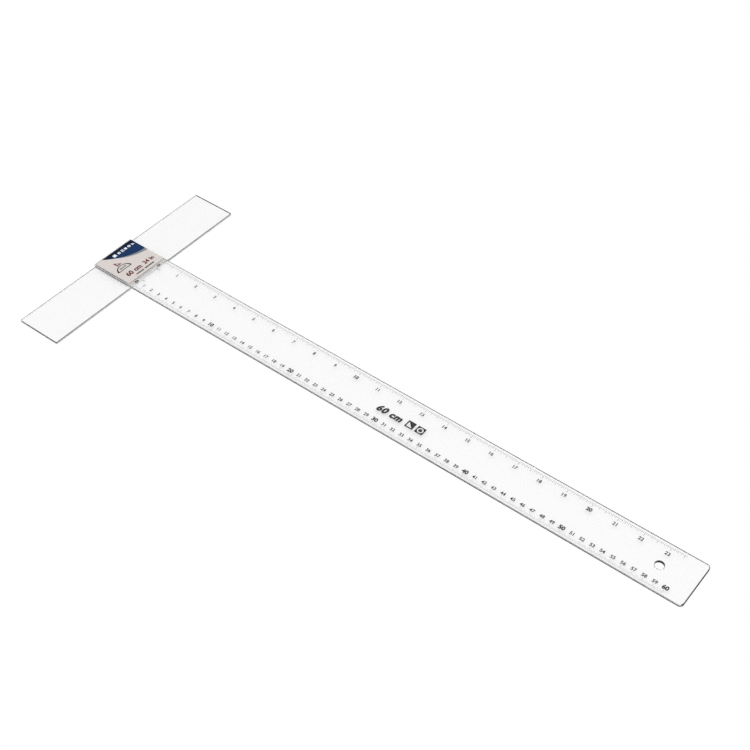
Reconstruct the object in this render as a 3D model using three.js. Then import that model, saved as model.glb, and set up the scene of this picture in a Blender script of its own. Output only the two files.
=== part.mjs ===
// A clear acrylic T-square with a fixed head, as used on a drawing board.
//
// Two strips of the same cast sheet are joined at a right angle: the head lies across the underside
// of the blade, an adhesive film holds the two faces together, and a printed label is stuck on top of
// the crossing. The blade has a hanging hole near its tip.
//
// Frame: millimetres, +Z up. X = 0 is the head's working edge, which slides along the board and is
// where the blade's scales begin. +X runs along the blade to its tip. Y = 0 is the blade's centreline,
// and +Y points to the edge with the inch scale. Z = 0 is the underside of the head.

import * as THREE from 'three';

// Driving dimensions
const SHEET_THICKNESS = 3;
const BLADE_WIDTH = 51;
const BLADE_REACH = 620; // from the head's working edge to the tip
const TIP_CORNER_RADIUS = 4;
const HEAD_WIDTH = 50;
const HEAD_LENGTH = 250;
const HEAD_CORNER_RADIUS = 0.75;
const HANGING_HOLE_DIAMETER = 8.5;
const HANGING_HOLE_FROM_TIP = 35; // tip to the hole's centre
const FILM_THICKNESS = 0.25;
const FILM_INSET = 0.25; // the film stops this far inside the crossing on every side
const FILM_CORNER_RADIUS = 1;
const LABEL_THICKNESS = 0.25;
const LABEL_OUTER_MARGIN = 1; // bare blade between the label and the blade's outer end
const LABEL_INNER_MARGIN = 2.5; // bare blade between the label and the head's working edge
const LABEL_CM_SIDE_MARGIN = 1; // bare blade along the centimetre edge
const LABEL_INCH_SIDE_MARGIN = 0; // the label is flush with the inch edge
const LABEL_CORNER_RADIUS = 0.5;

// Divisions of curves
const CORNER_DIVISIONS = 4; // an arc of a shape is cut into twice as many segments
const HOLE_SEGMENTS = 48;

// Heights of the stack, from the face that the head rests on
const HEAD_TOP = SHEET_THICKNESS;
const FILM_TOP = HEAD_TOP + FILM_THICKNESS;
const BLADE_TOP = FILM_TOP + SHEET_THICKNESS;

// Surface finishes
const FINISHES = {
  clearAcrylic: { color: 0xeef3f3, roughness: 0.06, metalness: 0, transparent: true, opacity: 0.3 },
  adhesiveFilm: { color: 0xf2f1ea, roughness: 0.35, metalness: 0, transparent: true, opacity: 0.5 },
  printedLabel: { color: 0xddd6d2, roughness: 0.35, metalness: 0 },
};

// The outline of a rectangular strip from (x0, y0) to (x1, y1). radii holds the rounding of its
// corners, anticlockwise from (x0, y0).
function stripOutline({ x0, x1, y0, y1, radii }) {
  const corners = [[x0, y0], [x1, y0], [x1, y1], [x0, y1]];
  const outline = new THREE.Shape();
  corners.forEach(([x, y], i) => {
    const radius = radii[i];
    const startAngle = Math.PI + (i * Math.PI) / 2;
    const centreX = x === x0 ? x + radius : x - radius;
    const centreY = y === y0 ? y + radius : y - radius;
    outline.absarc(centreX, centreY, radius, startAngle, startAngle + Math.PI / 2, false);
  });
  return outline;
}

// A round hole, as an evenly divided circle.
function roundHole(x, y, diameter) {
  const rim = [];
  for (let i = 0; i < HOLE_SEGMENTS; i++) {
    const angle = (-2 * Math.PI * i) / HOLE_SEGMENTS;
    rim.push(new THREE.Vector2(x + (diameter / 2) * Math.cos(angle), y + (diameter / 2) * Math.sin(angle)));
  }
  return new THREE.Path(rim);
}

// A flat piece of constant thickness, standing on the height zBottom.
function flatPiece(name, outline, zBottom, thickness, finish) {
  const geometry = new THREE.ExtrudeGeometry(outline, {
    depth: thickness,
    bevelEnabled: false,
    curveSegments: CORNER_DIVISIONS,
  });
  const mesh = new THREE.Mesh(geometry, new THREE.MeshStandardMaterial(finish));
  mesh.name = name;
  mesh.position.z = zBottom;
  return mesh;
}

function makeHead() {
  const outline = stripOutline({
    x0: -HEAD_WIDTH,
    x1: 0,
    y0: -HEAD_LENGTH / 2,
    y1: HEAD_LENGTH / 2,
    radii: Array(4).fill(HEAD_CORNER_RADIUS),
  });
  return flatPiece('head', outline, 0, SHEET_THICKNESS, FINISHES.clearAcrylic);
}

function makeAdhesiveFilm() {
  const outline = stripOutline({
    x0: -HEAD_WIDTH + FILM_INSET,
    x1: -FILM_INSET,
    y0: -BLADE_WIDTH / 2 + FILM_INSET,
    y1: BLADE_WIDTH / 2 - FILM_INSET,
    radii: Array(4).fill(FILM_CORNER_RADIUS),
  });
  return flatPiece('adhesive_film', outline, HEAD_TOP, FILM_THICKNESS, FINISHES.adhesiveFilm);
}

function makeBlade() {
  const outline = stripOutline({
    x0: -HEAD_WIDTH,
    x1: BLADE_REACH,
    y0: -BLADE_WIDTH / 2,
    y1: BLADE_WIDTH / 2,
    radii: [HEAD_CORNER_RADIUS, TIP_CORNER_RADIUS, TIP_CORNER_RADIUS, HEAD_CORNER_RADIUS],
  });
  outline.holes.push(roundHole(BLADE_REACH - HANGING_HOLE_FROM_TIP, 0, HANGING_HOLE_DIAMETER));
  return flatPiece('blade', outline, FILM_TOP, SHEET_THICKNESS, FINISHES.clearAcrylic);
}

function makeLabel() {
  const outline = stripOutline({
    x0: -HEAD_WIDTH + LABEL_OUTER_MARGIN,
    x1: -LABEL_INNER_MARGIN,
    y0: -BLADE_WIDTH / 2 + LABEL_CM_SIDE_MARGIN,
    y1: BLADE_WIDTH / 2 - LABEL_INCH_SIDE_MARGIN,
    radii: Array(4).fill(LABEL_CORNER_RADIUS),
  });
  return flatPiece('label', outline, BLADE_TOP, LABEL_THICKNESS, FINISHES.printedLabel);
}

const tSquare = new THREE.Group();
tSquare.add(makeHead(), makeAdhesiveFilm(), makeBlade(), makeLabel());

export default tSquare;
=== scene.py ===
import math

import bmesh
import bpy
from mathutils import Matrix, Vector
from mathutils.geometry import tessellate_polygon


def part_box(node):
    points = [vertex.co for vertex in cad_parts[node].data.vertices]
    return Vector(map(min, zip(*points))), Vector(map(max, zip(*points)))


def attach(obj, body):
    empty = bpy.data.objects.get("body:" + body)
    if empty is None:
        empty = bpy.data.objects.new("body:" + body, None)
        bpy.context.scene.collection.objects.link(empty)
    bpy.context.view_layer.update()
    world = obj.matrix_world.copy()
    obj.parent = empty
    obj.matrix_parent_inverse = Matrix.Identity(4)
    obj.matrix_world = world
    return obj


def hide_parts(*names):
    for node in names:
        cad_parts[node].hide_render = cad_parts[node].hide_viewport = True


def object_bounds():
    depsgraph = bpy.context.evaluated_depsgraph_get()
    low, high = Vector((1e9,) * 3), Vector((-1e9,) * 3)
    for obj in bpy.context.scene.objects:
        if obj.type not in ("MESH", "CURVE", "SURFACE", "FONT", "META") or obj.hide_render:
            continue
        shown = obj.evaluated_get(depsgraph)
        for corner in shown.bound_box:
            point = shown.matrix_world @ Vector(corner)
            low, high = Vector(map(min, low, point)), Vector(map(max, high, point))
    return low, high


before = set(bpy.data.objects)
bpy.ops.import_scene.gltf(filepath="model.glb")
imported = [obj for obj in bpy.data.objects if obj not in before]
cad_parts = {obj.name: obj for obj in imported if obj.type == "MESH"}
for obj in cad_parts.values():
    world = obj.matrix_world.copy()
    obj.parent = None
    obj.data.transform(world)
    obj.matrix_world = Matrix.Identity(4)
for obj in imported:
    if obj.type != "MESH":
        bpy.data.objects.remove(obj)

CAD_LO, CAD_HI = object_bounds()
CAD_CENTRE = (CAD_LO + CAD_HI) / 2
MM = 0.001

# Frame: x runs along the blade from the head's working edge, y towards the inch edge, z up.
BLADE_LO, BLADE_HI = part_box("blade")
HEAD_LO, HEAD_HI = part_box("head")
FILM_LO, FILM_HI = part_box("adhesive_film")
LABEL_LO, LABEL_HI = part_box("label")

# Acrylic strips
HEAD_CORNER = 0.75 * MM
TIP_CORNER = 4 * MM
CORNER_STEPS = 8
ARRIS = 0.2 * MM  # the broken sharp corner along every edge
TIP_BEVEL = 2.5  # the tip's end is broken this many times further in than the other edges
TONE_SPLITS = (0.35, 0.55, 0.93)  # an upright edge's painted light and shade changes at these shares of its height
FLAT = 0.97  # a face whose normal is this close to upright, as a cosine, isn't part of an edge
HOLE_RADIUS = 4.25 * MM
HOLE_FROM_TIP = 35 * MM
HOLE_CENTRE = Vector((BLADE_HI.x - HOLE_FROM_TIP, 0))
HOLE_SHADED_WAY = Vector((0.3, -0.95))  # the wall of the hole is painted dark, as shade, where it faces roughly this way
HOLE_SHADED_LIMIT = -0.35  # and how far it may turn from it, as a cosine
HOLE_STEPS = 64

# Adhesive film
FILM_CORNER = 1 * MM
FILM_ARRIS = 0.05 * MM

# Contact faces stand this far apart, so that two clear surfaces never coincide
GAP = 0.005 * MM

# Corners between faces stay sharp above this angle, which is less than the tip's bevel
SMOOTH_ANGLE = 15

# Ink on the blade's underside
INK = 0.012 * MM
INK_TOP = BLADE_LO.z - 2 * GAP
INK_BOTTOM = INK_TOP - INK

# Scales: tick lengths are in mm, for the first of the given steps that a line falls on
CM_COUNT = 60
CM = 10 * MM
CM_DIVISIONS = 10
CM_TICK_START = 2.5 * MM  # from the blade's edge
CM_TICK_WIDTH = 0.15 * MM
CM_TICK_LENGTHS = ((10, 4.0), (5, 3.0), (1, 2.0))
CM_FIGURE_Y = -15.9 * MM
CM_FIGURE_SIZES = (3.65 * MM, 4.4 * MM)  # the second is for the tens
INCH_COUNT = 23
INCH = 25.4 * MM
INCH_DIVISIONS = 16
INCH_TICK_START = 1.7 * MM
INCH_TICK_WIDTH = 0.3 * MM
INCH_TICK_LENGTHS = ((16, 4.5), (8, 3.7), (4, 3.0), (2, 2.4), (1, 1.8))
INCH_FIGURE_Y = 15.6 * MM
INCH_FIGURE_SIZES = (3.7 * MM, 3.9 * MM)
FIGURE_BOLDS = (0.03, 0.05)
UNIT_MARK_X = 4 * MM
UNIT_MARK_SIZE = 2.2 * MM
CM_MARK_Y = -10.5 * MM
INCH_MARK_Y = 11 * MM

# The size mark in the middle of the blade
MARK_Y = -1.5 * MM
MARK_FIGURES_X = 306.5 * MM
MARK_FIGURES_SIZE = 7.4 * MM
MARK_SQUARE = 4.3 * MM  # half a side
MARK_SET_SQUARE_X = 329.5 * MM
MARK_SET_SQUARE = 2.9 * MM  # half a leg
MARK_RING_X = 340.5 * MM
MARK_RING_OUTER = 3.1 * MM
MARK_RING_INNER = 1.9 * MM
SIGN_STEPS = 32  # of the curves in the signs

# Label, and the ink on it
LABEL_CORNER = 0.5 * MM
LABEL_ARRIS = 0.03 * MM
INK_ROOM = 0.03 * MM  # the sheet stays this far below the label's top
LABEL_SHEET_TOP = LABEL_HI.z - INK_ROOM
LABEL_INK = 0.012 * MM
WHITE_INK = 0.01 * MM  # on top of the navy ink
FIELD_MARGIN = 0.15 * MM
BAND_SHARE = 0.72  # of the navy field's curved side
BAND_WIDTH = 3.6 * MM
WHITE_ROW_X = -43 * MM
WHITE_SIGN = 1.45 * MM  # half a side
WHITE_RING_STEPS = 24
LENGTHS_X = -12.9 * MM
LENGTHS_BOLD = 0.04
RULER_X = -6.4 * MM
RULER_START = -9.5 * MM
RULER_PITCH = 0.8 * MM
RULER_LINES = 31
RULER_SKIPPED = (13, 14)  # the gap between the two lengths
RULER_LINE_WIDTH = 0.6 * MM
RULER_REACH = 1.1 * MM  # to both sides of RULER_X, for every fifth line
RULER_SHORT_REACH = 0.8 * MM  # to the -x side, for the others
PROTRACTOR_CENTRE = (-20.9 * MM, -10.6 * MM)
PROTRACTOR_HALF_WIDTH = 9.2 * MM
PROTRACTOR_HEIGHT = 7.6 * MM
PROTRACTOR_LINE = 0.85 * MM

FIGURE_HEIGHT = 0.73  # of the built-in typeface, as a share of its size
FULL_TURN = 2 * math.pi


# ---------------------------------------------------------------- outlines

def arc(cx, cy, radius, start, sweep, steps):
    """Points on an arc, from the angle start through sweep."""
    return [
        (cx + radius * math.cos(start + sweep * i / steps),
         cy + radius * math.sin(start + sweep * i / steps))
        for i in range(steps + 1)
    ]


def strip_outline(lo, hi, radii, inset=0.0, x_stops=(), y_stops=()):
    """A strip's outline, anticlockwise from its lowest corner, with its corners rounded.

    x_stops are extra points along its -y side, and y_stops along its +x side.
    """
    corners = [(lo.x, lo.y), (hi.x, lo.y), (hi.x, hi.y), (lo.x, hi.y)]
    points = []
    for i, ((x, y), radius) in enumerate(zip(corners, radii)):
        cx = x + radius if x == lo.x else x - radius
        cy = y + radius if y == lo.y else y - radius
        start = math.pi + i * math.pi / 2
        points += arc(cx, cy, radius - inset, start, math.pi / 2, CORNER_STEPS)
        if i == 0:
            points += [(stop, lo.y + inset) for stop in x_stops]
        if i == 1:
            points += [(hi.x - inset, stop) for stop in y_stops]
    return points


def circle(cx, cy, radius, steps):
    """A round shape, anticlockwise."""
    return arc(cx, cy, radius, 0, FULL_TURN, steps)[:-1]


def round_hole(cx, cy, radius, steps):
    """A round hole, clockwise."""
    return arc(cx, cy, radius, 0, -FULL_TURN, steps)[:-1]


def square(cx, cy, half):
    """A square, anticlockwise."""
    return [(cx - half, cy - half), (cx + half, cy - half), (cx + half, cy + half), (cx - half, cy + half)]


# ---------------------------------------------------------------- meshes

def ring(bm, points, z):
    """Vertices at the points, all at the height z."""
    return [bm.verts.new((x, y, z)) for x, y in points]


def wall(bm, lower, upper):
    """Faces between two rings of as many vertices."""
    for i in range(len(lower)):
        j = (i + 1) % len(lower)
        bm.faces.new((lower[i], lower[j], upper[j], upper[i]))


def cap(bm, rings):
    """A flat face inside the first ring and outside the others."""
    verts = [v for one in rings for v in one]
    for triangle in tessellate_polygon([[v.co for v in one] for one in rings]):
        bm.faces.new([verts[i] for i in triangle])


def add_slab(bm, loops, z0, z1, arris, splits=()):
    """A closed slab. Each loop is a function that gives its points for an inset."""
    levels = [(z0, arris), (z0 + arris, 0)] if arris else [(z0, 0)]
    levels += [(z0 + (z1 - z0) * share, 0) for share in splits]
    levels += [(z1 - arris, 0), (z1, arris)] if arris else [(z1, 0)]
    stacks = []
    for loop in loops:
        stack = [ring(bm, loop(inset), z) for z, inset in levels]
        for lower, upper in zip(stack, stack[1:]):
            wall(bm, lower, upper)
        stacks.append(stack)
    cap(bm, [stack[0] for stack in stacks])
    cap(bm, [stack[-1] for stack in stacks])


def finish_piece(name, bm, materials, pick=None, shade=True):
    """Makes the piece, gives it its materials and ties it to the frame.

    pick gives each face the number of its material. Without shade the piece casts no shadow.
    """
    bmesh.ops.recalc_face_normals(bm, faces=bm.faces)
    bm.normal_update()
    if pick:
        for face in bm.faces:
            face.material_index = pick(face)
    mesh = bpy.data.meshes.new(name)
    bm.to_mesh(mesh)
    bm.free()
    mesh.shade_smooth()
    mesh.set_sharp_from_angle(angle=math.radians(SMOOTH_ANGLE))
    for material in materials:
        mesh.materials.append(material)
    piece = bpy.data.objects.new(name, mesh)
    bpy.context.scene.collection.objects.link(piece)
    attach(piece, "root")
    piece.visible_shadow = shade
    return piece


def add_bar(bm, x0, x1, y0, y1, z0, z1):
    """A thin closed bar of ink."""
    corners = [(x0, y0), (x1, y0), (x1, y1), (x0, y1)]
    lower, upper = ring(bm, corners, z0), ring(bm, corners, z1)
    wall(bm, lower, upper)
    bm.faces.new(lower[::-1])
    bm.faces.new(upper)


def add_shape(bm, points, z0, z1, holes=()):
    """A thin closed layer of ink with any outline."""
    add_slab(bm, [lambda inset, p=p: p for p in (points, *holes)], z0, z1, 0)


def add_text(bm, text, size, place, z0, z1, turn=0.0, bold=0.0, slant=0.0, spacing=1.0):
    """Lettering centred on place, size high for its capitals and figures."""
    curve = bpy.data.curves.new("lettering", "FONT")
    curve.body = text
    curve.align_x = "CENTER"
    curve.resolution_u = 3
    curve.offset = bold
    curve.shear = slant
    curve.space_character = spacing
    curve.extrude = 0.5  # to each side, so the lettering is 1 thick until it is scaled
    holder = bpy.data.objects.new("lettering", curve)
    bpy.context.scene.collection.objects.link(holder)
    shown = holder.evaluated_get(bpy.context.evaluated_depsgraph_get())
    letters = bpy.data.meshes.new_from_object(shown)
    low = [min(v.co[i] for v in letters.vertices) for i in (0, 1)]
    high = [max(v.co[i] for v in letters.vertices) for i in (0, 1)]
    scale = size / FIGURE_HEIGHT
    to_place = (
        Matrix.Translation((place[0], place[1], (z0 + z1) / 2))
        @ Matrix.Rotation(turn, 4, "Z")
        @ Matrix.Diagonal((scale, scale, z1 - z0, 1))
        @ Matrix.Translation((-(low[0] + high[0]) / 2, -FIGURE_HEIGHT / 2, 0))
    )
    letters.transform(to_place)
    bm.from_mesh(letters)
    bpy.data.objects.remove(holder)
    bpy.data.curves.remove(curve)
    bpy.data.meshes.remove(letters)


# ---------------------------------------------------------------- materials

class Nodes:
    """Short calls for building a material's nodes."""

    def __init__(self, name):
        self.material = bpy.data.materials.new(name)
        self.material.use_nodes = True
        self.tree = self.material.node_tree
        self.tree.nodes.clear()
        self.output = self.tree.nodes.new("ShaderNodeOutputMaterial")

    def add(self, kind, **inputs):
        """A new node. Its inputs are given by name, with _ for a space."""
        node = self.tree.nodes.new("ShaderNode" + kind)
        for name, value in inputs.items():
            self.set(node.inputs[name.replace("_", " ")], value)
        return node

    def set(self, socket, value):
        """Links the socket to the value, or gives it the value itself."""
        if isinstance(value, bpy.types.NodeSocket):
            self.tree.links.new(value, socket)
        else:
            socket.default_value = value

    def coords(self):
        return self.add("TexCoord").outputs["Object"]

    def noise(self, scale, detail=2.0, roughness=0.5, stretch=(1, 1, 1)):
        place = self.add("Mapping", Vector=self.coords(), Scale=stretch).outputs["Vector"]
        noise = self.add("TexNoise", Vector=place, Scale=scale, Detail=detail, Roughness=roughness)
        return noise.outputs["Fac"]

    def ramp(self, value, low, high, out_low, out_high):
        """Goes from out_low to out_high while the value goes from low to high."""
        node = self.add(
            "MapRange", Value=value, From_Min=low, From_Max=high, To_Min=out_low, To_Max=out_high,
        )
        return node.outputs["Result"]

    def blend(self, share, a, b):
        """A colour between a and b."""
        node = self.add("Mix")
        node.data_type = "RGBA"
        self.set(node.inputs[0], share)
        self.set(node.inputs[6], a)
        self.set(node.inputs[7], b)
        return node.outputs[2]

    def bump(self, height, strength, distance):
        return self.add("Bump", Height=height, Strength=strength, Distance=distance).outputs["Normal"]

    def surface(self, shader):
        """The finished material, with this shader."""
        self.set(self.output.inputs["Surface"], shader.outputs[0])
        return self.material

    def lamps_pass(self, shader):
        """Shadow and diffuse rays pass straight through, as light does through clear sheet."""
        path = self.add("LightPath")
        either = self.add("Math")
        either.operation = "MAXIMUM"
        self.set(either.inputs[0], path.outputs["Is Shadow Ray"])
        self.set(either.inputs[1], path.outputs["Is Diffuse Ray"])
        clear = self.add("BsdfTransparent", Color=grey(1))
        mix = self.add("MixShader")
        self.set(mix.inputs[0], either.outputs[0])
        self.set(mix.inputs[1], shader.outputs[0])
        self.set(mix.inputs[2], clear.outputs[0])
        return mix


def grey(value):
    return (value, value, value, 1)


ACRYLIC_IOR = 1.49
ADHESIVE_IOR = 1.47


def acrylic_face():
    """Clear cast acrylic: fine random scratches and faint smears in the polish."""
    n = Nodes("clear_acrylic_face")
    smears = n.noise(14.0, 3.0)
    scratches = n.noise(260.0, 2.0, 0.6, stretch=(0.12, 1.6, 1))
    roughness = n.ramp(smears, 0.35, 0.7, 0.0, 0.02)
    shader = n.add(
        "BsdfPrincipled", Base_Color=(0.99, 0.992, 0.991, 1), Roughness=roughness, IOR=ACRYLIC_IOR,
        Transmission_Weight=1.0, Normal=n.bump(scratches, 0.06, 0.02 * MM),
    )
    return n.surface(n.lamps_pass(shader))


def acrylic_edge(name, dark, light, clarity, gloss):
    """Sawn and scraped acrylic edge, frosted, with lines from the cutter.

    Each copy of it is painted darker or lighter for the shade or light that falls on the edge where it is
    used, and its tone goes from dark to light in random patches. clarity is the share of light that it
    lets in.
    """
    n = Nodes(name)
    cutter = n.noise(900.0, 3.0, 0.6, stretch=(1, 1, 0.08))
    patches = n.noise(12.0, 2.0)
    roughness = n.ramp(patches, 0.3, 0.7, 0.25, 0.4)
    # painted shade levels, mixed in random patches
    patchy_painted_shade = n.blend(n.ramp(patches, 0.35, 0.65, 0, 1), grey(dark), grey(light))
    colour = n.blend(n.ramp(cutter, 0.35, 0.65, 0, 0.35), patchy_painted_shade, grey(light))
    shader = n.add(
        "BsdfPrincipled", Base_Color=colour, Roughness=roughness, IOR=ACRYLIC_IOR,
        Transmission_Weight=clarity, Specular_IOR_Level=gloss, Normal=n.bump(cutter, 0.25, 0.03 * MM),
    )
    return n.surface(n.lamps_pass(shader))


def adhesive():
    """Clear adhesive film, slightly cloudy, with small trapped bubbles. Its grey is partly its own
    cloudiness and partly painted shade from under the label.
    """
    n = Nodes("adhesive_film_clear")
    cloud = n.noise(90.0, 4.0, 0.6)
    bubbles = n.add("TexVoronoi", Vector=n.coords(), Scale=700.0)
    spots = n.ramp(bubbles.outputs["Distance"], 0.1, 0.2, 1, 0)
    # grey partly for the film's cloudiness, partly painted shade
    colour = n.blend(n.ramp(cloud, 0.35, 0.65, 0, 1), (0.75, 0.74, 0.73, 1), (0.83, 0.82, 0.81, 1))
    shader = n.add(
        "BsdfPrincipled", Base_Color=colour, Roughness=n.ramp(cloud, 0.3, 0.7, 0.35, 0.5),
        IOR=ADHESIVE_IOR, Transmission_Weight=0.6, Normal=n.bump(spots, 0.3, 0.02 * MM),
    )
    return n.surface(n.lamps_pass(shader))


def label_paper():
    """Coated label paper: a warm off-white with faint mottling and a fibre relief."""
    n = Nodes("label_paper")
    mottle = n.noise(700.0, 3.0, 0.6)
    fibres = n.noise(2600.0, 2.0, 0.5, stretch=(1, 0.35, 1))
    colour = n.blend(
        n.ramp(mottle, 0.3, 0.7, 0, 1), (0.63, 0.575, 0.55, 1), (0.71, 0.66, 0.63, 1)
    )
    shader = n.add(
        "BsdfPrincipled", Base_Color=colour, Roughness=n.ramp(fibres, 0.3, 0.7, 0.35, 0.5),
        Normal=n.bump(fibres, 0.3, 0.02 * MM),
    )
    return n.surface(shader)


def printed_ink(name, colour, spread=0.12, fade=None):
    """Printed ink. spread is how uneven its tone is, as a share.

    fade is (from x, to x, colour): the ink turns to that colour along x.
    """
    n = Nodes(name)
    grain = n.noise(1500.0, 3.0, 0.6)
    lighter = tuple(c + (1 - c) * spread * 0.5 for c in colour[:3]) + (1,)
    darker = tuple(c * (1 - spread) for c in colour[:3]) + (1,)
    shade = n.blend(n.ramp(grain, 0.3, 0.7, 0, 1), darker, lighter)
    if fade:
        place = n.add("SeparateXYZ", Vector=n.coords()).outputs["X"]
        shade = n.blend(n.ramp(place, fade[0], fade[1], 0, 1), shade, fade[2])
    shader = n.add(
        "BsdfPrincipled", Base_Color=shade, Roughness=n.ramp(grain, 0.3, 0.7, 0.35, 0.5),
        Specular_IOR_Level=0.1, Normal=n.bump(grain, 0.15, 0.01 * MM),
    )
    return n.surface(shader)


def floor_material():
    """Matt white studio floor with a barely visible tooth."""
    n = Nodes("studio_floor")
    tooth = n.noise(400.0, 2.0)
    shader = n.add(
        "BsdfPrincipled", Base_Color=n.blend(tooth, grey(0.93), grey(0.95)), Roughness=1.0,
        Specular_IOR_Level=0.0,
    )
    return n.surface(shader)


# Copies of one frosted edge, painted in shade, half shade and light for how light falls on each edge, and
# in a lit grey for the head's face under the blade
ACRYLIC = [
    acrylic_face(),
    acrylic_edge("edge_painted_shade", 0.015, 0.075, 0.0, 0.1),
    acrylic_edge("edge_painted_half_shade", 0.33, 0.45, 0.2, 0.3),
    acrylic_edge("edge_painted_light", 0.9, 0.96, 0.4, 0.5),
    acrylic_edge("edge_painted_grey_light", 0.72, 0.8, 0.0, 0.1),
]
CLEAR, EDGE_IN_SHADE, EDGE_HALF_SHADE, EDGE_LIT, EDGE_GREY_LIT = range(len(ACRYLIC))
FILM = adhesive()
PAPER = label_paper()
SCALE_INK = printed_ink("scale_ink_black", (0.006, 0.006, 0.007, 1), 0.02)
NAVY = printed_ink(
    "label_ink_navy", (0.005, 0.03, 0.105, 1), 0.02,
    fade=(-40 * MM, -47 * MM, (0.004, 0.012, 0.03, 1)),
)
GREY = printed_ink("label_ink_grey", (0.22, 0.24, 0.275, 1))
RED = printed_ink("label_ink_red", (0.11, 0.007, 0.008, 1), 0.04)
WHITE = printed_ink("label_ink_white", (0.85, 0.87, 0.9, 1), 0.06)


# ---------------------------------------------------------------- acrylic

def facing(normal):
    """The side that a normal points to."""
    if abs(normal.x) > abs(normal.y):
        return "+x" if normal.x > 0 else "-x"
    return "+y" if normal.y > 0 else "-y"


def edge_tones(lo, hi, tones):
    """Picks a face's material. tones gives each side's painted shade and light, from its lower to its
    upper part.
    """
    def pick(face):
        if abs(face.normal.z) > FLAT:
            return CLEAR
        centre = face.calc_center_median()
        height = (centre.z - lo.z) / (hi.z - lo.z)
        side = facing(face.normal)
        # the hole's wall is painted as a dark crescent of shade, and as a lit arc on the other side
        if (centre.xy - HOLE_CENTRE).length < HOLE_RADIUS + ARRIS:
            side = "hole" if face.normal.xy.dot(HOLE_SHADED_WAY) > HOLE_SHADED_LIMIT else "hole's painted lit arc"
        elif side == "+x" and BLADE_LO.y < centre.y < BLADE_HI.y and centre.z < BLADE_LO.z:
            side = "+x under the blade"
        elif side == "-y" and centre.x < HEAD_HI.x and centre.z > BLADE_LO.z:
            side = "-y over the head"
        return tones[side][sum(height > split for split in TONE_SPLITS)]

    return pick


def make_head():
    def outline(inset):
        under_blade = (BLADE_LO.y, BLADE_HI.y)
        return strip_outline(HEAD_LO, HEAD_HI, [HEAD_CORNER] * 4, inset, y_stops=under_blade)

    bm = bmesh.new()
    add_slab(bm, [outline], HEAD_LO.z, HEAD_HI.z, ARRIS, TONE_SPLITS)
    # painted shade and light on each side of the head, from its lower to its upper part
    tones = {
        "+x": (EDGE_LIT, EDGE_LIT, EDGE_HALF_SHADE, EDGE_IN_SHADE),
        "-x": (EDGE_LIT, EDGE_HALF_SHADE, EDGE_IN_SHADE, EDGE_IN_SHADE),
        "+y": (EDGE_IN_SHADE, EDGE_IN_SHADE, EDGE_IN_SHADE, EDGE_IN_SHADE),
        "-y": (EDGE_LIT, EDGE_HALF_SHADE, EDGE_IN_SHADE, EDGE_LIT),
        # the head's working face under the blade lies in the label's shade and is painted a lit grey
        "+x under the blade": (EDGE_GREY_LIT, EDGE_GREY_LIT, EDGE_GREY_LIT, EDGE_GREY_LIT),
    }
    pick = edge_tones(HEAD_LO, HEAD_HI, tones)
    piece = finish_piece("head_clear", bm, ACRYLIC, pick)
    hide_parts("head")


def make_blade():
    def outline(inset):
        radii = [HEAD_CORNER, TIP_CORNER, TIP_CORNER, HEAD_CORNER]
        hi = BLADE_HI - Vector((TIP_BEVEL * inset, 0, 0))
        return strip_outline(BLADE_LO, hi, radii, inset, x_stops=(HEAD_HI.x,))

    def hole(inset):
        return round_hole(HOLE_CENTRE.x, HOLE_CENTRE.y, HOLE_RADIUS + inset, HOLE_STEPS)

    bm = bmesh.new()
    add_slab(bm, [outline, hole], BLADE_LO.z, BLADE_HI.z, ARRIS, TONE_SPLITS)
    # painted shade and light on each side of the blade, from its lower to its upper part
    tones = {
        "+x": (EDGE_HALF_SHADE, EDGE_IN_SHADE, EDGE_IN_SHADE, EDGE_IN_SHADE),
        "-x": (EDGE_LIT, EDGE_LIT, EDGE_LIT, EDGE_LIT),
        "+y": (EDGE_LIT, EDGE_IN_SHADE, EDGE_IN_SHADE, EDGE_IN_SHADE),
        "-y": (EDGE_IN_SHADE, EDGE_HALF_SHADE, EDGE_LIT, EDGE_LIT),
        "-y over the head": (EDGE_HALF_SHADE, EDGE_HALF_SHADE, EDGE_LIT, EDGE_LIT),
        "hole": (EDGE_IN_SHADE, EDGE_IN_SHADE, EDGE_IN_SHADE, EDGE_IN_SHADE),
        "hole's painted lit arc": (EDGE_LIT, EDGE_LIT, EDGE_LIT, EDGE_LIT),
    }
    pick = edge_tones(BLADE_LO, BLADE_HI, tones)
    piece = finish_piece("blade_clear", bm, ACRYLIC, pick)
    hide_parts("blade")


def make_film():
    bm = bmesh.new()
    add_slab(
        bm, [lambda inset: strip_outline(FILM_LO, FILM_HI, [FILM_CORNER] * 4, inset)],
        FILM_LO.z + GAP, INK_BOTTOM - GAP, FILM_ARRIS,
    )
    piece = finish_piece("film_clear", bm, [FILM])
    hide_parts("adhesive_film")


# ---------------------------------------------------------------- scales

def make_graduations(name, count, pitch, start, way, width, lengths):
    """The lines of a scale. They run from start across the blade, up (way 1) or down (way -1)."""
    bm = bmesh.new()
    for i in range(count):
        length = next(size for step, size in lengths if i % step == 0)
        x = i * pitch
        y0, y1 = sorted((start, start + way * length * MM))
        add_bar(bm, x - width / 2, x + width / 2, y0, y1, INK_BOTTOM, INK_TOP)
    finish_piece(name, bm, [SCALE_INK], shade=False)


def make_figures(name, count, pitch, y, sizes):
    """The scale's numbers, each centred on its line. The tens are larger and bolder."""
    bm = bmesh.new()
    for i in range(count + 1):
        kind = 1 if i % 10 == 0 else 0
        place = (i * pitch, y)
        add_text(bm, str(i), sizes[kind], place, INK_BOTTOM, INK_TOP, bold=FIGURE_BOLDS[kind])
    finish_piece(name, bm, [SCALE_INK], shade=False)


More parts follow.
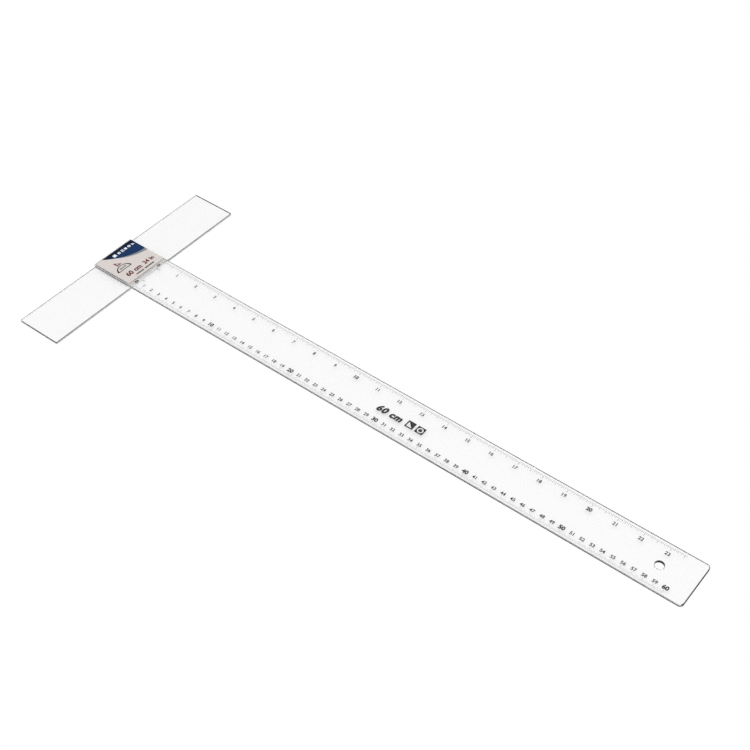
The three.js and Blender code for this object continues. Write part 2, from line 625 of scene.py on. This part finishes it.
def make_unit_marks():
    bm = bmesh.new()
    for text, y in (("cm", CM_MARK_Y), ("inch", INCH_MARK_Y)):
        add_text(bm, text, UNIT_MARK_SIZE, (UNIT_MARK_X, y), INK_BOTTOM, INK_TOP)
    finish_piece("unit_marks", bm, [SCALE_INK], shade=False)


def make_size_mark():
    """The length in figures, and two plain drafting signs cut out of squares: a set square and a ring."""
    bm = bmesh.new()
    add_text(
        bm, "60 cm", MARK_FIGURES_SIZE, (MARK_FIGURES_X, MARK_Y), INK_BOTTOM, INK_TOP,
        bold=0.06, slant=0.2, spacing=1.12,
    )
    x, y, leg = MARK_SET_SQUARE_X, MARK_Y, MARK_SET_SQUARE
    set_square = [(x - leg, y - leg), (x - leg, y + leg), (x + leg, y - leg)]
    add_shape(bm, square(x, y, MARK_SQUARE), INK_BOTTOM, INK_TOP, [set_square])
    x = MARK_RING_X
    ring_gap = round_hole(x, y, MARK_RING_OUTER, SIGN_STEPS)
    add_shape(bm, square(x, y, MARK_SQUARE), INK_BOTTOM, INK_TOP, [ring_gap])
    add_shape(bm, circle(x, y, MARK_RING_INNER, SIGN_STEPS), INK_BOTTOM, INK_TOP)
    finish_piece("size_mark", bm, [SCALE_INK], shade=False)


# ---------------------------------------------------------------- label

def make_label_sheet():
    bm = bmesh.new()
    add_slab(
        bm, [lambda inset: strip_outline(LABEL_LO, LABEL_HI, [LABEL_CORNER] * 4, inset)],
        LABEL_LO.z + GAP, LABEL_SHEET_TOP, LABEL_ARRIS,
    )
    piece = finish_piece("label_sheet", bm, [PAPER])
    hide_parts("label")


def swoosh(t, lift=0.0):
    """A point on the navy field's curved side, from the inch edge (t = 0) to the outer edge (t = 1).

    lift moves it off the curve, away from the navy field.
    """
    start = Vector((-28.6, 25.0)) * MM
    handle = Vector((-29.0, 3.0)) * MM
    end = Vector((-49.3, -16.5)) * MM
    point = start * (1 - t) ** 2 + handle * 2 * t * (1 - t) + end * t ** 2
    along = ((handle - start) * (1 - t) + (end - handle) * t).normalized()
    return point + Vector((along.y, -along.x)) * -lift


def make_label_fields():
    """A navy corner with a grey band along its curved side."""
    z0, z1 = LABEL_SHEET_TOP, LABEL_SHEET_TOP + LABEL_INK
    steps = SIGN_STEPS
    outer, top = LABEL_LO.x + FIELD_MARGIN, LABEL_HI.y - FIELD_MARGIN
    curve = [swoosh(i / steps) for i in range(steps + 1)]
    curve[0].y = top
    bm = bmesh.new()
    add_shape(bm, [(outer, top), (outer, curve[-1].y)] + [tuple(p) for p in reversed(curve)], z0, z1)
    finish_piece("label_navy_field", bm, [NAVY])
    near = [swoosh(BAND_SHARE * i / steps) for i in range(steps + 1)]
    far = [swoosh(BAND_SHARE * i / steps, BAND_WIDTH * (1 - i / steps) ** 0.8) for i in range(steps)]
    far[0].y = near[0].y = top
    bm = bmesh.new()
    add_shape(bm, [tuple(p) for p in near] + [tuple(p) for p in reversed(far)], z0, z1)
    finish_piece("label_grey_band", bm, [GREY])


def make_label_white_marks():
    """A row of plain signs in the navy corner: set square, ring, squares, lines and a frame."""
    z0 = LABEL_SHEET_TOP + LABEL_INK
    z1 = z0 + WHITE_INK
    x, half = WHITE_ROW_X, WHITE_SIGN
    set_square_base, set_square_top = 20.3 * MM, 23.6 * MM
    ring_y, ring_outer, ring_inner = 16.7 * MM, 1.7 * MM, 0.6 * MM
    small_square_y = 11.8 * MM
    line_ys, line_half_length, line_half_width = (6.6, 8.3), 2 * MM, 0.45
    frame_y, frame_inner = 2.6 * MM, 0.5 * MM
    large_square_x, large_square_y, large_half = x - 0.2 * MM, -3.4 * MM, 1.9 * MM
    bm = bmesh.new()
    set_square = [(x + half, set_square_base), (x + half, set_square_top), (x - half, set_square_base)]
    add_shape(bm, set_square, z0, z1)
    ring_gap = round_hole(x, ring_y, ring_inner, WHITE_RING_STEPS)
    add_shape(bm, circle(x, ring_y, ring_outer, WHITE_RING_STEPS), z0, z1, [ring_gap])
    add_shape(bm, square(x, small_square_y, half), z0, z1)
    for y in line_ys:
        low, high = (y - line_half_width) * MM, (y + line_half_width) * MM
        add_bar(bm, x - line_half_length, x + line_half_length, low, high, z0, z1)
    add_shape(bm, square(x, frame_y, half), z0, z1, [square(x, frame_y, frame_inner)[::-1]])
    add_shape(bm, square(large_square_x, large_square_y, large_half), z0, z1)
    finish_piece("label_white_marks", bm, [WHITE])


def make_label_red_marks():
    """The two lengths in figures, and a small set square."""
    z0, z1 = LABEL_SHEET_TOP, LABEL_SHEET_TOP + LABEL_INK
    bm = bmesh.new()
    for text, size, y in (("60 cm", 5.8, -7.0), ("24 in", 5.0, 13.6)):
        place = (LENGTHS_X, y * MM)
        add_text(bm, text, size * MM, place, z0, z1, turn=FULL_TURN / 4, bold=LENGTHS_BOLD)
    leg, opening = 6.5 * MM, 0.42  # the set square's, as a length and as a share of its size
    corner = Vector((-29.6, -13.5)) * MM
    outer = [corner, corner + Vector((0, leg)), corner + Vector((-leg, 0))]
    middle = (outer[0] + outer[1] + outer[2]) / 3
    inner = [middle + (p - middle) * opening for p in reversed(outer)]
    add_shape(bm, [tuple(p) for p in outer], z0, z1, [[tuple(p) for p in inner]])
    finish_piece("label_red_marks", bm, [RED])


def make_label_black_marks():
    """A fine row of ruler lines under the figures, and a protractor."""
    z0, z1 = LABEL_SHEET_TOP, LABEL_SHEET_TOP + LABEL_INK
    bm = bmesh.new()
    for i in range(RULER_LINES):
        if i in RULER_SKIPPED:
            continue
        reach = RULER_REACH if i % 5 == 0 else RULER_SHORT_REACH
        y = RULER_START + RULER_PITCH * i
        add_bar(bm, RULER_X - reach, RULER_X + RULER_REACH, y, y + RULER_LINE_WIDTH, z0, z1)
    cx, cy = PROTRACTOR_CENTRE
    half_width, height, line = PROTRACTOR_HALF_WIDTH, PROTRACTOR_HEIGHT, PROTRACTOR_LINE

    def dome(base, width, rise):
        """Half an ellipse, anticlockwise, that rises from the line x = base towards -x."""
        turns = [math.pi * i / SIGN_STEPS for i in range(SIGN_STEPS + 1)]
        return [(base - rise * math.sin(a), cy + width * math.cos(a)) for a in turns]

    opening = dome(cx - line, half_width - 2.2 * line, height - 2 * line)
    add_shape(bm, dome(cx, half_width, height), z0, z1, [opening[::-1]])
    bar_spread, bar_half_width = 4.16 * MM, 0.4 * MM
    for i in range(1, 6):
        y = cy + bar_spread * math.cos(math.pi * i / 6)
        low, high = y - bar_half_width, y + bar_half_width
        add_bar(bm, cx - height * 0.62, cx - height * 0.28, low, high, z0, z1)
    finish_piece("label_black_marks", bm, [SCALE_INK], shade=False)


# ---------------------------------------------------------------- studio

FLOOR_HALF = 12.0
FLOOR_DROP = 0.02 * MM  # below the head
SUN_STRENGTH = 2.16
SUN_SPREAD = 18  # degrees, which softens the label's shadow
SUN_TILT = 20  # degrees from overhead, towards +x
SKY_HORIZON = 0.1
SKY_ZENITH = 0.6
BACKDROP = 0.9  # what the sky looks like where it is seen directly


def make_floor():
    bm = bmesh.new()
    bm.faces.new(ring(bm, square(0, 0, FLOOR_HALF), CAD_LO.z - FLOOR_DROP))
    mesh = bpy.data.meshes.new("floor")
    bm.to_mesh(mesh)
    bm.free()
    mesh.materials.append(floor_material())
    floor = bpy.data.objects.new("floor", mesh)
    bpy.context.scene.collection.objects.link(floor)


def make_light():
    """A soft sun, and a sky that is dim at the horizon but even where the camera sees it."""
    sun = bpy.data.lights.new("overhead", "SUN")
    sun.energy = SUN_STRENGTH
    sun.angle = math.radians(SUN_SPREAD)
    lamp = bpy.data.objects.new("overhead", sun)
    lamp.location = (0, 0, 2)
    lamp.rotation_euler = (0, math.radians(SUN_TILT), 0)
    lamp.visible_glossy = False  # no glare on the sheets, from outside or from inside
    lamp.visible_transmission = False
    bpy.context.scene.collection.objects.link(lamp)
    world = bpy.data.worlds.new("studio")
    bpy.context.scene.world = world
    world.use_nodes = True
    nodes, links = world.node_tree.nodes, world.node_tree.links
    background = nodes["Background"]
    height = nodes.new("ShaderNodeSeparateXYZ")
    sky = nodes.new("ShaderNodeValToRGB")
    seen = nodes.new("ShaderNodeLightPath")
    mix = nodes.new("ShaderNodeMix")
    mix.data_type = "RGBA"
    links.new(nodes.new("ShaderNodeTexCoord").outputs["Generated"], height.inputs[0])
    links.new(height.outputs["Z"], sky.inputs["Fac"])
    stops = sky.color_ramp.elements
    stops[0].position, stops[0].color = 0.0, grey(SKY_HORIZON)
    stops[1].position, stops[1].color = 1.0, grey(SKY_ZENITH)
    links.new(seen.outputs["Is Camera Ray"], mix.inputs[0])
    links.new(sky.outputs["Color"], mix.inputs[6])
    mix.inputs[7].default_value = grey(BACKDROP)
    links.new(mix.outputs[2], background.inputs["Color"])


CAMERA_AZIMUTH = 36.487  # degrees from -y towards +x
CAMERA_ELEVATION = 45.632
CAMERA_ROLL = 1.447
CAMERA_DISTANCE = 1.289
CAMERA_LENS = 66.017
CAMERA_SENSOR = 36
AIM_OFFSET = Vector((-0.01924, 0.02872, 0.0013))  # from the CAD box's centre to what the lens points at


def make_camera():
    """The photo's view."""
    azimuth, elevation = math.radians(CAMERA_AZIMUTH), math.radians(CAMERA_ELEVATION)
    back = Vector((
        math.sin(azimuth) * math.cos(elevation),
        -math.cos(azimuth) * math.cos(elevation),
        math.sin(elevation),
    ))
    camera = bpy.data.cameras.new("camera")
    camera.lens = CAMERA_LENS
    camera.sensor_width = CAMERA_SENSOR
    camera.clip_start, camera.clip_end = 0.01, 100
    holder = bpy.data.objects.new("camera", camera)
    turn = back.to_track_quat("Z", "Y").to_matrix().to_4x4()
    roll = Matrix.Rotation(math.radians(CAMERA_ROLL), 4, "Z")
    place = Matrix.Translation(CAD_CENTRE + AIM_OFFSET + back * CAMERA_DISTANCE)
    holder.matrix_world = place @ turn @ roll
    bpy.context.scene.collection.objects.link(holder)
    bpy.context.scene.camera = holder


make_camera()
make_light()
make_floor()
make_head()
make_film()
make_blade()
make_graduations(
    "cm_graduations", CM_COUNT * CM_DIVISIONS + 1, CM / CM_DIVISIONS,
    BLADE_LO.y + CM_TICK_START, 1, CM_TICK_WIDTH, CM_TICK_LENGTHS,
)
make_graduations(
    "inch_graduations", int(CM_COUNT * CM / INCH * INCH_DIVISIONS) + 1, INCH / INCH_DIVISIONS,
    BLADE_HI.y - INCH_TICK_START, -1, INCH_TICK_WIDTH, INCH_TICK_LENGTHS,
)
make_figures("cm_figures", CM_COUNT, CM, CM_FIGURE_Y, CM_FIGURE_SIZES)
make_figures("inch_figures", INCH_COUNT, INCH, INCH_FIGURE_Y, INCH_FIGURE_SIZES)
make_unit_marks()
make_size_mark()
make_label_sheet()
make_label_fields()
make_label_white_marks()
make_label_red_marks()
make_label_black_marks()

bpy.context.scene.view_settings.view_transform = "Standard"
